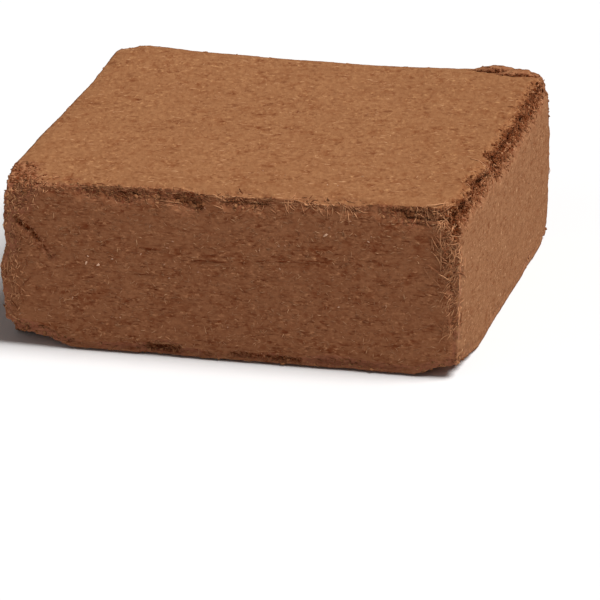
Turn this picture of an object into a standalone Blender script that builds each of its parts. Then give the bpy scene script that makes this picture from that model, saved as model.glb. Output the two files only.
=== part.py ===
# A bale of coconut coir: pith and short fibre pressed dry into one square block.
# Metres, +Z up. The origin is the middle of the underside. -Y is the front, the long side with the torn
# upper rim, and +X is the side whose upper rim is hollowed.

import math
from dataclasses import dataclass, field

import bmesh
import bpy
from mathutils import Vector, noise

MM = 0.001

# Driving dimensions
LENGTH = 300 * MM
DEPTH = 300 * MM
HEIGHT = 114 * MM

# The form is moulded on a grid with cells about this wide, then thinned to this share of its triangles.
CELL = 3 * MM
KEPT_SHARE = 0.132

X, Y, Z = 0, 1, 2
HALF = Vector((LENGTH / 2, DEPTH / 2, HEIGHT / 2))

# A rim's broken band is deepest a little below its edge, where the pressed skin has held on longest.
DEEPEST_AT = 5 * MM
# How far the break runs back on the face above or below the band.
SKIN_REACH = 9 * MM
# The shallowest and narrowest that a broken band gets.
LEAST_DEPTH = 0.4 * MM
LEAST_REACH = 6 * MM
# The lumps that the broken band is made of: their width, and how much they change its depth.
LUMP_WIDTH = 8 * MM
LUMP_SHARE = 0.55
# A band changes its depth and its lip over stretches about this long.
STRETCH_WIDTH = 16 * MM
SKIN_UNEVEN = 0.9

# The faces swelled a little when the bale left the mould.
SIDE_SWELL = 2.8 * MM
LEFT_SWELL = 1.8 * MM
# The share of the swelling that is gone at the upright edges.
SWELL_LOSS = 0.5
WAVE_HEIGHT = 0.5 * MM
WAVE_WIDTH = 45 * MM
# The upper and lower faces stay flat inside this margin, where the press plates held them.
FLAT_MARGIN = 55 * MM


@dataclass
class Chip:
    """A stretch of a rim that broke further: where it lies along the rim, and how much it adds."""

    at: float
    half_length: float
    depth: float
    reach: float


@dataclass
class Rim:
    """One of the twelve edges. It runs along one axis, where the faces on the sides given by signs meet.

    skin is the share of the band's depth that the edge itself has lost, and drop is how far it has worn down.
    """

    along: int
    signs: tuple
    depth: float
    reach: float
    skin: float = 0.45
    drop: float = 1.5 * MM
    chips: list = field(default_factory=list)

    @property
    def upright(self):
        return self.along == Z

    @property
    def faces(self):
        """The two axes across the rim. The upright side face comes first."""
        return [axis for axis in (X, Y, Z) if axis != self.along]


def chip(at, half_length, depth, reach):
    """A chip with its sizes in millimetres."""
    return Chip(at * MM, half_length * MM, depth * MM, reach * MM)


FRONT_TOP = Rim(
    X, (-1, 1), 2.4 * MM, 9 * MM,
    chips=[
        chip(-92, 9, 2.2, 3),
        chip(-66, 14, 3.4, 4),
        chip(-45, 7, 1.6, 2),
        chip(-27, 12, 4.4, 8),
        chip(6, 9, 2.6, 2),
        chip(21, 7, 1.8, 2),
        chip(60, 32, -1.4, -2),
        chip(106, 10, 2.4, 4),
        chip(124, 13, 3.2, 7),
        chip(144, 9, 4.2, 9),
    ],
)
RIGHT_TOP = Rim(
    Y, (1, 1), 4.4 * MM, 15 * MM, skin=0.55, drop=2.2 * MM,
    chips=[
        chip(-134, 11, 4.0, 5),
        chip(-86, 14, 3.6, 4),
        chip(-58, 10, -1.4, -1),
        chip(-28, 12, 4.8, 6),
        chip(-4, 13, 3.8, 5),
        chip(24, 13, 4.2, 4),
        chip(54, 12, 1.8, 2),
        chip(88, 16, 2.6, 3),
        chip(118, 12, 1.6, 2),
    ],
)
BACK_TOP = Rim(
    X, (1, 1), 1.5 * MM, 9 * MM, drop=1.0 * MM,
    chips=[chip(-96, 18, 1.4, 3), chip(-20, 30, -0.6, -2), chip(48, 20, 1.0, 3)],
)
LEFT_TOP = Rim(
    Y, (-1, 1), 1.0 * MM, 10 * MM, drop=0.8 * MM,
    chips=[chip(-74, 15, 0.8, 3), chip(66, 26, 0.8, 3)],
)
FRONT_BOTTOM = Rim(
    X, (-1, -1), 2.0 * MM, 9 * MM,
    chips=[chip(-46, 16, 2.4, 5), chip(72, 24, 1.4, 3)],
)
RIGHT_BOTTOM = Rim(
    Y, (1, -1), 0.7 * MM, 7 * MM, drop=0.6 * MM,
    chips=[chip(-40, 25, 0.8, 3), chip(80, 22, 1.2, 3)],
)
BACK_BOTTOM = Rim(X, (1, -1), 2.2 * MM, 9 * MM, chips=[chip(-75, 24, 2.4, 5), chip(66, 18, 2.8, 6)])
LEFT_BOTTOM = Rim(Y, (-1, -1), 2.2 * MM, 9 * MM, chips=[chip(-88, 20, 2.2, 4), chip(36, 24, 2.4, 5)])
FRONT_LEFT = Rim(Z, (-1, -1), 1.8 * MM, 12 * MM, chips=[chip(14, 16, 1.4, 5), chip(46, 20, 1.0, 6)])
FRONT_RIGHT = Rim(Z, (1, -1), 1.6 * MM, 7 * MM, chips=[chip(38, 16, 1.2, 3)])
BACK_RIGHT = Rim(Z, (1, 1), 0.6 * MM, 9 * MM, chips=[chip(34, 18, 0.5, 3)])
BACK_LEFT = Rim(Z, (-1, 1), 3.0 * MM, 12 * MM, chips=[chip(-16, 18, 1.8, 4)])

RIMS = [
    FRONT_TOP, RIGHT_TOP, BACK_TOP, LEFT_TOP,
    FRONT_BOTTOM, RIGHT_BOTTOM, BACK_BOTTOM, LEFT_BOTTOM,
    FRONT_LEFT, FRONT_RIGHT, BACK_RIGHT, BACK_LEFT,
]
WIDEST_BREAK = 34 * MM


@dataclass
class Corner:
    """A corner that was knocked off: how far the break reaches along each axis and how deep it goes."""

    signs: tuple
    reach: tuple
    depth: tuple


def corner(signs, reach, depth):
    """A knocked corner with its sizes in millimetres."""
    return Corner(signs, [size * MM for size in reach], [size * MM for size in depth])


CORNERS = [
    corner((-1, -1, 1), (34, 40, 38), (3.2, 4.5, 3)),
    corner((1, -1, 1), (13, 14, 17), (5, 6, 7)),
    corner((1, 1, 1), (24, 24, 26), (4.5, 4, 3)),
    corner((-1, 1, 1), (24, 24, 20), (5, 5, 2)),
    corner((-1, -1, -1), (60, 32, 24), (7, 5, 9.5)),
    corner((1, -1, -1), (40, 75, 22), (2, 2.5, 9)),
    corner((1, 1, -1), (24, 34, 20), (1.4, 1.4, 3)),
    corner((-1, 1, -1), (26, 26, 26), (6, 6, 5)),
]
CORNER_LUMPS = 1.1 * MM

# How far the upper face is bent up or down at some places, given as shares of the half length and depth.
BENT_PLACES = [((-1, -1), -1.2 * MM), ((1, 1), 4.6 * MM), ((0, 1), 1.7 * MM), ((-1, 1), 5.0 * MM)]
BEND_REACH = 135 * MM


@dataclass
class Crust:
    """A thin crust that has lifted off the upper face at the far right corner. It is rooted in the block at
    the back, and its front lip stands clear. start and end lie along X, lip and back along Y."""

    name: str
    start: float
    end: float
    lip: float
    back: float
    lift: float


CRUSTS = [
    Crust("outer_crust", 97 * MM, 130 * MM, 132 * MM, 146 * MM, 8.4 * MM),
    Crust("corner_crust", 113 * MM, 144 * MM, 125 * MM, 141 * MM, 8.0 * MM),
]
CRUST_THICKNESS = 2.2 * MM
CRUST_STEPS = 18
# How far a crust's ends draw back from its lip, and how ragged the lip is.
CRUST_END_DRAW = 8 * MM
CRUST_RAGGED = 1.6 * MM
CRUST_LUMP_WIDTH = 6 * MM
# The root goes this deep below the upper face, and is this wide.
CRUST_ROOT_DEPTH = 7 * MM
CRUST_ROOT_WIDTH = 4 * MM


def faded(distance, reach):
    """1 at no distance, falling smoothly to 0 at reach."""
    left = max(0.0, 1.0 - distance / reach)
    return left * left * (3.0 - 2.0 * left)


def roughness(point, width):
    """Lumps about this wide, from -1 to 1."""
    return noise.fractal(point / width, 0.9, 2.1, 3)


def band_profile(distance, reach, skin):
    """How deep the broken band is at a distance below the rim: a shallow lip, the hollow, then nothing."""
    if distance >= reach:
        return 0.0
    if distance <= DEEPEST_AT:
        return skin + (1.0 - skin) * distance / DEEPEST_AT
    return faded(distance - DEEPEST_AT, reach - DEEPEST_AT)


def broken_at(rim, along):
    """(depth, reach, skin) of the break at a place along a rim."""
    uneven = roughness(Vector((along, rim.signs[0] * LENGTH, rim.signs[1] * DEPTH)), STRETCH_WIDTH)
    ragged = 1.0 + LUMP_SHARE * uneven
    depth, reach = rim.depth * ragged, rim.reach * (0.5 + 0.5 * ragged)
    for one in rim.chips:
        share = (along - one.at) / one.half_length
        if abs(share) < 1.0:
            bite = (1.0 - share * share) * (0.75 + 0.25 * ragged)
            depth += one.depth * bite
            reach += one.reach * bite
    return max(depth, LEAST_DEPTH), max(reach, LEAST_REACH), min(1.0, rim.skin * (1.0 - SKIN_UNEVEN * uneven))


def rim_moves(rim, point, clear):
    """How far a rim's break moves a point inwards along each axis. clear has its distance from each face."""
    first, second = rim.faces
    out_first, out_second = clear[first][rim.signs[0]], clear[second][rim.signs[1]]
    moves = [0.0, 0.0, 0.0]
    if max(out_first, out_second) > WIDEST_BREAK:
        return moves
    depth, reach, skin = broken_at(rim, point[rim.along])
    if rim.upright:
        amount = depth * faded(out_first + out_second, reach)
        moves[first] = moves[second] = amount
        return moves
    moves[first] = depth * band_profile(out_second, reach, skin) * faded(out_first, SKIN_REACH + depth)
    moves[second] = rim.drop * faded(out_first, SKIN_REACH) * faded(out_second, SKIN_REACH)
    return moves


def knocked(point, lumps):
    """How far the knocked corners move a point inwards along each axis."""
    moves = [0.0, 0.0, 0.0]
    for one in CORNERS:
        away = [(sign * HALF[axis] - point[axis]) / one.reach[axis] for axis, sign in enumerate(one.signs)]
        share = faded(Vector(away).length, 1.0)
        for axis in (X, Y, Z):
            moves[axis] += share * (one.depth[axis] + CORNER_LUMPS * lumps)
    return moves


def bent(point):
    """How far the upper face is bent up at a point."""
    rise = 0.0
    for (across, back), amount in BENT_PLACES:
        away = Vector((point.x - across * HALF.x, point.y - back * HALF.y)).length
        rise += amount * faded(away, BEND_REACH)
    return rise * (0.5 + point.z / HEIGHT)


def swollen(point, clear):
    """How far the faces stand out, by their swelling and by slow waves."""
    share = Vector([place / half for place, half in zip(point, HALF)])
    rounding = 1.0 - share.z * share.z
    wave = WAVE_HEIGHT * noise.noise(point / WAVE_WIDTH)
    out = Vector((0.0, 0.0, 0.0))
    for axis, other in ((X, Y), (Y, X)):
        for sign in (-1, 1):
            if clear[axis][sign] == 0.0:
                swell = LEFT_SWELL if (axis, sign) == (X, -1) else SIDE_SWELL
                out[axis] += sign * (swell * rounding * (1.0 - SWELL_LOSS * share[other] ** 4) + wave)
    inside = min(clear[X][-1], clear[X][1], clear[Y][-1], clear[Y][1])
    if clear[Z][1] == 0.0:
        out.z += wave * faded(inside, FLAT_MARGIN)
    return out


def moulded(point):
    """Where a point of the plain block ends up. The point is measured from the block's middle."""
    clear = [{sign: max(0.0, half - sign * place) for sign in (-1, 1)} for place, half in zip(point, HALF)]
    inwards = [0.0, 0.0, 0.0]
    if sorted(min(sides.values()) for sides in clear)[1] < WIDEST_BREAK:
        for rim in RIMS:
            for axis, move in enumerate(rim_moves(rim, point, clear)):
                inwards[axis] = max(inwards[axis], move)
        lumps = roughness(point, LUMP_WIDTH)
        blows = knocked(point, lumps)
        inwards = [max(move * (1.0 + LUMP_SHARE * lumps), blow) for move, blow in zip(inwards, blows)]
    out = swollen(point, clear)
    moved = Vector([place - (1 if place > 0 else -1) * move for place, move in zip(point, inwards)]) + out
    moved.z += bent(point) + HALF.z
    return moved


def grid_block():
    """The plain block as a closed grid of square cells, centred on its middle."""
    form = bmesh.new()
    bmesh.ops.create_cube(form, size=1.0)
    bmesh.ops.scale(form, vec=(LENGTH, DEPTH, HEIGHT), verts=form.verts)
    for axis, length in enumerate((LENGTH, DEPTH, HEIGHT)):
        runs = [
            edge for edge in form.edges
            if abs(edge.verts[0].co[axis] - edge.verts[1].co[axis]) > length / 2
        ]
        bmesh.ops.subdivide_edges(form, edges=runs, cuts=round(length / CELL) - 1, use_grid_fill=True)
    for vertex in form.verts:
        for axis, half in enumerate(HALF):
            if abs(abs(vertex.co[axis]) - half) < 0.01 * MM:
                vertex.co[axis] = half if vertex.co[axis] > 0 else -half
    return form


def crust_section(crust, share):
    """The points (y, z) around a crust at a share of its length. It is highest past its middle."""
    x = crust.start + (crust.end - crust.start) * share
    ragged = CRUST_RAGGED * roughness(Vector((x, crust.lip, 0.0)), CRUST_LUMP_WIDTH)
    towards_end = (2.0 * share - 1.0) ** 2
    lip = crust.lip + CRUST_END_DRAW * towards_end + ragged
    top = HEIGHT + crust.lift * math.sin(math.pi * (0.12 + 0.68 * share)) + 0.3 * ragged
    half_thick = CRUST_THICKNESS * (1.0 - 0.6 * towards_end) / 2
    middle = (lip + crust.back) / 2
    root = HEIGHT - CRUST_ROOT_DEPTH
    return x, [
        (lip, top - 0.4 * half_thick),
        (middle, top + half_thick),
        (crust.back, top - half_thick),
        (crust.back, root),
        (crust.back - CRUST_ROOT_WIDTH, root),
        (crust.back - CRUST_ROOT_WIDTH, top - 2.0 * half_thick),
        (middle, top - half_thick),
    ]


def lifted_crust(crust):
    """A crust as a closed body of its own, for joining to the block."""
    form = bmesh.new()
    rings = []
    for step in range(CRUST_STEPS + 1):
        x, section = crust_section(crust, step / CRUST_STEPS)
        rings.append([form.verts.new((x, y, z)) for y, z in section])
    for ring, following in zip(rings, rings[1:]):
        for i in range(len(ring)):
            j = (i + 1) % len(ring)
            form.faces.new((ring[i], following[i], following[j], ring[j]))
    form.faces.new(rings[0])
    form.faces.new(reversed(rings[-1]))
    bmesh.ops.recalc_face_normals(form, faces=form.faces)
    body = added_object(crust.name, form)
    body.hide_render = True
    body.display_type = "WIRE"
    return body


def added_object(name, form):
    """An object in the scene from a bmesh, which is freed."""
    mesh = bpy.data.meshes.new(name)
    form.to_mesh(mesh)
    form.free()
    thing = bpy.data.objects.new(name, mesh)
    bpy.context.scene.collection.objects.link(thing)
    return thing


def coir_material():
    """Dry pressed coir: dull, rough and brown all through."""
    material = bpy.data.materials.new("pressed coir")
    material.use_nodes = True
    shader = material.node_tree.nodes["Principled BSDF"]
    shader.inputs["Base Color"].default_value = (0.22, 0.095, 0.045, 1.0)
    shader.inputs["Roughness"].default_value = 0.95
    shader.inputs["Metallic"].default_value = 0.0
    return material


def coir_bale():
    """The whole bale: the moulded block, thinned to few triangles, with its lifted crusts joined on."""
    form = grid_block()
    for vertex in form.verts:
        vertex.co = moulded(vertex.co)
    bale = added_object("coir_bale", form)
    bale.data.materials.append(coir_material())
    thin = bale.modifiers.new("few triangles", "DECIMATE")
    thin.ratio = KEPT_SHARE
    thin.use_collapse_triangulate = True
    for crust in CRUSTS:
        union = bale.modifiers.new(crust.name, "BOOLEAN")
        union.operation = "UNION"
        union.solver = "EXACT"
        union.object = lifted_crust(crust)
    return bale


def main():
    for old in list(bpy.data.objects):
        bpy.data.objects.remove(old)
    coir_bale()


main()
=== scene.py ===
# A bale of coconut coir: pith and short fibre pressed dry into one square block, with torn upper rims.
# Metres, +Z up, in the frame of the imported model. -Y is the front.

import math
from dataclasses import dataclass

import bmesh
import bpy
import numpy as np
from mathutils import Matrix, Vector, noise
from mathutils.bvhtree import BVHTree


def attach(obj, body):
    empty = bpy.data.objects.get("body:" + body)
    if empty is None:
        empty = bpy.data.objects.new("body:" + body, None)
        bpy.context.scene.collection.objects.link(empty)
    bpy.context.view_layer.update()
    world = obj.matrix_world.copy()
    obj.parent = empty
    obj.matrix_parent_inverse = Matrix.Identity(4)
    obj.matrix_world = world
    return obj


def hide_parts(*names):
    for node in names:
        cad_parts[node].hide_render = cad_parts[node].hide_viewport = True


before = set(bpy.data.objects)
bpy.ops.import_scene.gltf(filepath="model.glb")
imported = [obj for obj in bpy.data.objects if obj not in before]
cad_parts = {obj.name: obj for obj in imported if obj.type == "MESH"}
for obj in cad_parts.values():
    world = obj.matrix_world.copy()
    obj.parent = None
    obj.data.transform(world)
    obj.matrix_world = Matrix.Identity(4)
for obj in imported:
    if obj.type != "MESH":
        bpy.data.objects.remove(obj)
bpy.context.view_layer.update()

MM = 0.001
X, Y, Z = 0, 1, 2

# The block as it left the mould
LENGTH = 300 * MM
DEPTH = 300 * MM
HEIGHT = 114 * MM
HALF = Vector((LENGTH / 2, DEPTH / 2, HEIGHT / 2))
# Its middle, seen from the middle of the underside
MIDDLE = Vector((0.0, 0.0, HALF.z))

# Cells of the block's surface: on the pressed faces, along every rim, and in the torn rims
FACE_CELL = 3 * MM
RIM_MARGIN = 19 * MM
TORN_MARGIN = 14 * MM

# A rim's broken band is deepest a little below its edge. The break runs this far back on the other face.
DEEPEST_AT = 5 * MM
SKIN_REACH = 9 * MM
# The shallowest and narrowest that a band gets
LEAST_DEPTH = 0.4 * MM
LEAST_REACH = 6 * MM
# The lumps in it: their width, how much they change its depth, and their share in an old break
LUMP_WIDTH = 8 * MM
LUMP_SHARE = 0.55
OLD_LUMPS = 0.2
# It changes over stretches this long. How much its lip does, and how far its reach and chips follow
STRETCH_WIDTH = 16 * MM
SKIN_UNEVEN = 0.9
REACH_UNEVEN = 0.5
CHIP_UNEVEN = 0.25

# How far the sides swelled when the bale left the mould, and the share that is gone at the upright edges
SIDE_SWELL = 2.8 * MM
LEFT_SWELL = 1.8 * MM
SWELL_LOSS = 0.5
# Slow waves in the faces. The press plate kept the upper one flat inside this margin.
WAVE_HEIGHT = 0.5 * MM
WAVE_WIDTH = 45 * MM
FLAT_MARGIN = 55 * MM

# The pressed skin starts to go in a break this deep, and is all gone in one this deep. How much both vary.
SKIN_GOES_AT = 0.7 * MM
SKIN_LOST_AT = 2.2 * MM
SKIN_HOLD = 1.1 * MM
# On the upper face it holds on where it still faces up this much, more or less.
LEVEL_SKIN = (0.62, 0.93)
LEVEL_UNEVEN = 0.12
# Painted shade: the hollow depth where it is full, and the most that it may be. How far a rim's shade reaches
FULL_SHADE_AT = 3.4 * MM
MOST_PAINTED_SHADE = 1.2
SHADE_REACH = 45 * MM
# Corners whose breaks were rubbed smooth, how far that reaches, and how much of their freshness it took
RUBBED_CORNERS = [((-1, -1, 1), 66 * MM), ((1, 1, 1), 34 * MM)]
RUBBED_AWAY = 0.9
# The front left corner was rubbed bare of skin: how far, how squashed that is, and its ragged border
BARE_REACH = 40 * MM
BARE_SQUASH = (0.6, 0.8)
BARE_RAGGED = 0.35
BARE_BORDER = (0.25, 0.6)
# How fresh the pith looks there, and how dark above and at the sides
BARE_FRESH = 0.3
BARE_DARK = (0.75, 0.1)
# The front rim beside it was rubbed round.
ROUND_REACH = 85 * MM
ROUND_RADIUS = 7 * MM
# Torn pith crumbles, and comes away in thin level layers. An old rubbed break keeps a share of that relief.
CRUMBLE_WIDTH = 2.6 * MM
CRUMBLE_HEIGHT = 1.3 * MM
LAYER_WIDTH = 15 * MM
LAYER_THICKNESS = 1.7 * MM
LAYER_HEIGHT = 1.0 * MM
RUBBED_RELIEF = 0.15


def mm(sizes):
    """Millimetres as metres."""
    return [size * MM for size in sizes]


@dataclass
class Chip:
    """A stretch of a rim that broke or wore further: where it is, and what it adds."""

    at: float
    half_length: float
    depth: float
    reach: float
    drop: float = 0.0


@dataclass
class Rim:
    """One of the twelve edges, between the faces on the sides given by signs. skin is the share of the band's
    depth that the edge lost, drop how far it wore down, and shade how fresh its break is: that gives it the
    darker colour of fresh torn pith, and sets how much shade is painted in its hollows."""

    along: int
    signs: tuple
    depth: float
    reach: float
    chips: list
    skin: float
    drop: float
    shade: float

    @property
    def faces(self):
        """The two axes across the rim. The upright side face comes first."""
        return [axis for axis in (X, Y, Z) if axis != self.along]


def broken_rim(along, signs, depth, reach, *chips, skin=0.45, drop=1.5, shade=0.15):
    """A rim and its chips, with all sizes in millimetres."""
    chips = [Chip(*mm(sizes)) for sizes in chips]
    return Rim(along, signs, depth * MM, reach * MM, chips, skin, drop * MM, shade)


FRONT_TOP = broken_rim(
    X, (-1, 1), 1.6, 12,
    (-124, 28, -1.2, -2), (-92, 9, 1.2, 3), (-66, 14, 1.1, 4), (-45, 7, 0.8, 3), (-27, 12, 2.0, 9),
    (2, 34, 0, 0, 2.6), (-8, 7, -1.2, -3), (6, 8, 1.3, 2), (21, 7, 1.0, 2), (33, 7, -1.1, -3),
    (60, 30, -1.2, -3), (64, 32, 0, 0, 2.6), (106, 10, 1.0, 4), (124, 13, 1.6, 7), (144, 9, 3.2, 9),
    skin=0.85, shade=0.6,
)
RIGHT_TOP = broken_rim(
    Y, (1, 1), 4.2, 18,
    (-134, 11, 4.0, 5), (-86, 14, 3.6, 4), (-58, 10, -1.4, -1), (-28, 12, 4.8, 6), (-4, 13, 3.8, 5),
    (24, 13, 4.2, 4), (54, 12, 1.8, 2), (88, 16, 2.6, 3), (114, 12, 1.6, 2), (146, 18, -3.0, -4),
    skin=0.6, drop=2.2, shade=1.0,
)
BACK_TOP = broken_rim(X, (1, 1), 1.5, 9, (-96, 18, 1.4, 3), (-20, 30, -0.6, -2), (48, 20, 1.0, 3), drop=1.0)
LEFT_TOP = broken_rim(Y, (-1, 1), 1.0, 10, (-74, 15, 0.8, 3), (66, 26, 0.8, 3), drop=0.8)
FRONT_BOTTOM = broken_rim(X, (-1, -1), 2.0, 9, (-46, 16, 2.4, 5), (72, 24, 1.4, 3))
RIGHT_BOTTOM = broken_rim(Y, (1, -1), 0.7, 7, (-40, 25, 0.8, 3), (80, 22, 1.2, 3), drop=0.6)
BACK_BOTTOM = broken_rim(X, (1, -1), 2.2, 9, (-75, 24, 2.4, 5), (66, 18, 2.8, 6))
LEFT_BOTTOM = broken_rim(Y, (-1, -1), 2.2, 9, (-88, 20, 2.2, 4), (36, 24, 2.4, 5))
FRONT_LEFT = broken_rim(Z, (-1, -1), 1.8, 12, (14, 16, 1.4, 5), (46, 20, 1.0, 6))
FRONT_RIGHT = broken_rim(Z, (1, -1), 1.6, 7, (38, 16, 1.2, 3), shade=0.2)
BACK_RIGHT = broken_rim(Z, (1, 1), 1.0, 9, (34, 18, 0.5, 3))
BACK_LEFT = broken_rim(Z, (-1, 1), 3.0, 12, (-16, 18, 1.8, 4))

RIMS = [
    FRONT_TOP, RIGHT_TOP, BACK_TOP, LEFT_TOP,
    FRONT_BOTTOM, RIGHT_BOTTOM, BACK_BOTTOM, LEFT_BOTTOM,
    FRONT_LEFT, FRONT_RIGHT, BACK_RIGHT, BACK_LEFT,
]
TORN_RIMS = [FRONT_TOP, RIGHT_TOP, FRONT_LEFT, FRONT_RIGHT]
# No break reaches further than this.
WIDEST_BREAK = 34 * MM

# Corners that were knocked off: how far the break reaches along each axis and how deep it goes
CORNERS = [
    (signs, mm(reach), mm(depth))
    for signs, reach, depth in (
        ((-1, -1, 1), (34, 40, 38), (3.2, 4.5, 3)),
        ((1, -1, 1), (13, 14, 17), (5, 6, 7)),
        ((1, 1, 1), (24, 24, 26), (4.5, 4, 3)),
        ((-1, 1, 1), (24, 24, 20), (5, 5, 2)),
        ((-1, -1, -1), (60, 32, 24), (7, 5, 9.5)),
        ((1, -1, -1), (40, 75, 22), (2, 2.5, 9)),
        ((1, 1, -1), (24, 34, 20), (1.4, 1.4, 3)),
        ((-1, 1, -1), (26, 26, 26), (6, 6, 5)),
    )
]
CORNER_LUMPS = 1.1 * MM

# How far the upper face is bent up or down at some places, given as shares of the half length and depth.
BENT_PLACES = [((-1, -1), -1.2 * MM), ((1, 1), 4.6 * MM), ((0, 1), 1.7 * MM), ((-1, 1), 5.0 * MM)]
BEND_REACH = 135 * MM


def on_bale(place):
    """A place in millimetres from the middle of the underside. With no Y given it is on the front."""
    return np.array(place if len(place) == 3 else (place[0], -150, place[1]))


# A gouge wears its floor by this many times its painted shade. How ragged its border is.
GOUGE_WEAR = 1.5
GOUGE_RAGGED = 0.3
# Pits, cracks and creases: the line that each runs along, its half width and depth, and its painted shade
GOUGE_ROWS = [
    # The slot at the front right corner, and the hollow behind it, dark with painted shade
    ((149, 115), (149, 97), 7.0, 5.0, 2.4),
    ((150, -129, 110), (150, -119, 104), 7, 3.0, 1.8),
    # Painted shade in the gaps among the loose fibres down the front right edge
    ((142, 104), (144, 84), 7.0, 1.0, 0.75),
    ((144, 80), (145, 61), 6.0, 0.8, 0.65),
    ((145, 58), (146, 40), 5.0, 0.6, 0.4),
    # The broad torn band under the right rim, with a thin painted shade, darker towards the front
    ((150, -145, 107), (150, 138, 107.5), 12, 0.3, 0.65),
    # Hollows in it, dark with painted shade
    ((150, -99, 108), (150, -74, 107), 8, 1.4, 1.3),
    ((150, -33, 107), (150, -8, 106), 11, 1.8, 1.7),
    ((150, 4, 108), (150, 40, 107), 9.5, 1.6, 1.5),
    ((150, 62, 108), (150, 84, 108), 6, 0.8, 0.9),
    ((150, 98, 108), (150, 126, 105), 11, 0.7, 0.95),
    # Level cracks where layers have parted, under the right half of the front rim
    ((110, 110.5), (128, 109.5), 2.0, 1.2, 0.5),
    ((114, 106), (139, 105), 2.2, 1.8, 0.75),
    ((122, 102), (134, 101.5), 1.8, 1.2, 0.55),
    # The deepest pocket under the left half of the front rim
    ((-33, 106), (-18, 103), 5, 1.0, 0.8),
    # The crease that runs down from the front left edge
    ((-142, 88), (-126, 77), 3.2, 1.8, 1.2),
    ((-128, 78), (-116, 63), 2.8, 1.3, 1.0),
    # Where the skin has peeled back above the front rim, and a chip behind its left end
    ((-62, -149, 114), (-47, -149, 114), 5, 0.5, 0.45),
    ((-107, -143, 114), (-99, -142.5, 114), 2.5, 0.8, 0.6),
    # Where the lower front rim has crumbled, with a painted contact shadow along it
    ((-128, 9), (-118, 7), 4, 1.6, 0.8),
    ((-52, 6), (-34, 4), 5, 1.5, 0.85),
    ((2, 5), (46, 3), 4, 1.0, 0.75),
]
GOUGES = [
    (Vector(on_bale(start)) * MM - MIDDLE, Vector(on_bale(end)) * MM - MIDDLE, *mm(sizes), dark)
    for start, end, *sizes, dark in GOUGE_ROWS
]


# The two crusts that lifted off the upper face at the far right corner: where each starts and ends along X,
# where its front lip and its back are along Y, and how far it lifted
CRUSTS = [mm((97, 130, 138, 148, 7.1)), mm((113, 144, 132, 144, 6.6))]
CRUST_STEPS = 48
# How far a crust's ends draw back from its lip, and how ragged the lip is.
CRUST_END_DRAW = 5 * MM
CRUST_RAGGED = 1.6 * MM
CRUST_LUMP_WIDTH = 6 * MM
# The part of a half turn that its top follows from end to end, highest past the middle
CRUST_RISE = (0.12, 0.68)
# How deep its foot and its root are sunk, and how far behind the lip the root starts
CRUST_SUNK = 0.5 * MM
CRUST_ROOT_DEPTH = 7 * MM
CRUST_ROOT_AT = 1.0 * MM
# Its front: how far back, at which share of its height. Where its crest is, and how far it falls from there.
CRUST_SLOPE = [(0.3 * MM, 0.35), (0.8 * MM, 0.75)]
CRUST_CREST = 0.4
CRUST_FALL = 0.4 * MM
# The share of torn pith's relief that it has
CRUST_RELIEF = 0.35
# How torn and fresh each line of points around it is, and how much shade is painted on it
CRUST_TORN = [
    (1.0, 0.4, 1.2), (1.0, 0.4, 0.9), (1.0, 0.4, 0.3), (0.5, 0.2, 0.0),
    (0.3, 0.0, 0.0), (0.3, 0.0, 0.0), (1.0, 0.4, 1.2),
]


def faded(distance, reach):
    """1 at no distance, falling smoothly to 0 at reach."""
    left = max(0.0, 1.0 - distance / reach)
    return left * left * (3.0 - 2.0 * left)


def rising(value, low, high):
    """0 below low, 1 above high, smooth between."""
    share = min(1.0, max(0.0, (value - low) / (high - low)))
    return share * share * (3.0 - 2.0 * share)


def roughness(point, width):
    """Lumps about this wide, from -1 to 1."""
    return noise.fractal(point / width, 0.9, 2.1, 3)


def band_profile(distance, reach, skin):
    """How deep the broken band is at a distance below the rim: a lip, the hollow, then nothing."""
    if distance >= reach:
        return 0.0
    if distance <= DEEPEST_AT:
        return skin + (1.0 - skin) * distance / DEEPEST_AT
    return faded(distance - DEEPEST_AT, reach - DEEPEST_AT)


def broken_at(rim, along):
    """(depth, reach, skin, drop) of the break at a place along a rim."""
    uneven = roughness(Vector((along, rim.signs[0] * LENGTH, rim.signs[1] * DEPTH)), STRETCH_WIDTH)
    ragged = 1.0 + LUMP_SHARE * uneven
    depth, drop = rim.depth * ragged, rim.drop
    reach = rim.reach * (1.0 - REACH_UNEVEN + REACH_UNEVEN * ragged)
    skin = min(1.0, rim.skin * (1.0 - SKIN_UNEVEN * uneven))
    for one in rim.chips:
        share = (along - one.at) / one.half_length
        if abs(share) < 1.0:
            bite = (1.0 - share * share) * (1.0 - CHIP_UNEVEN + CHIP_UNEVEN * ragged)
            depth += one.depth * bite
            reach += one.reach * bite
            drop += one.drop * bite
    return max(depth, LEAST_DEPTH), max(reach, LEAST_REACH), skin, drop


def rim_moves(rim, point, clear):
    """How far a rim's break moves a point inwards along each axis. clear has its way to each face."""
    first, second = rim.faces
    out_first, out_second = clear[first][rim.signs[0]], clear[second][rim.signs[1]]
    moves = [0.0, 0.0, 0.0]
    if max(out_first, out_second) > WIDEST_BREAK:
        return moves
    depth, reach, skin, drop = broken_at(rim, point[rim.along])
    if rim.along == Z:
        amount = depth * faded(out_first + out_second, reach)
        moves[first] = moves[second] = amount
        return moves
    moves[first] = depth * band_profile(out_second, reach, skin) * faded(out_first, SKIN_REACH + depth)
    moves[second] = drop * faded(out_first, SKIN_REACH) * faded(out_second, SKIN_REACH)
    return moves


def rubbed_round(point):
    """How far the rounding of the front rim's left end moves a point back and down."""
    radius = ROUND_RADIUS * faded(point.x + HALF.x, ROUND_REACH)
    below, behind = HALF.z - point.z, HALF.y + point.y
    if max(below, behind) >= radius or min(below, behind) > 0.0:
        return 0.0, 0.0
    turn = math.pi / 4 * (1.0 - max(below, behind) / radius)
    slant, along = radius * (1.0 - math.cos(turn)), radius * (1.0 - math.sin(turn)) - max(below, behind)
    return (slant, along) if behind == 0.0 else (along, slant)


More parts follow.
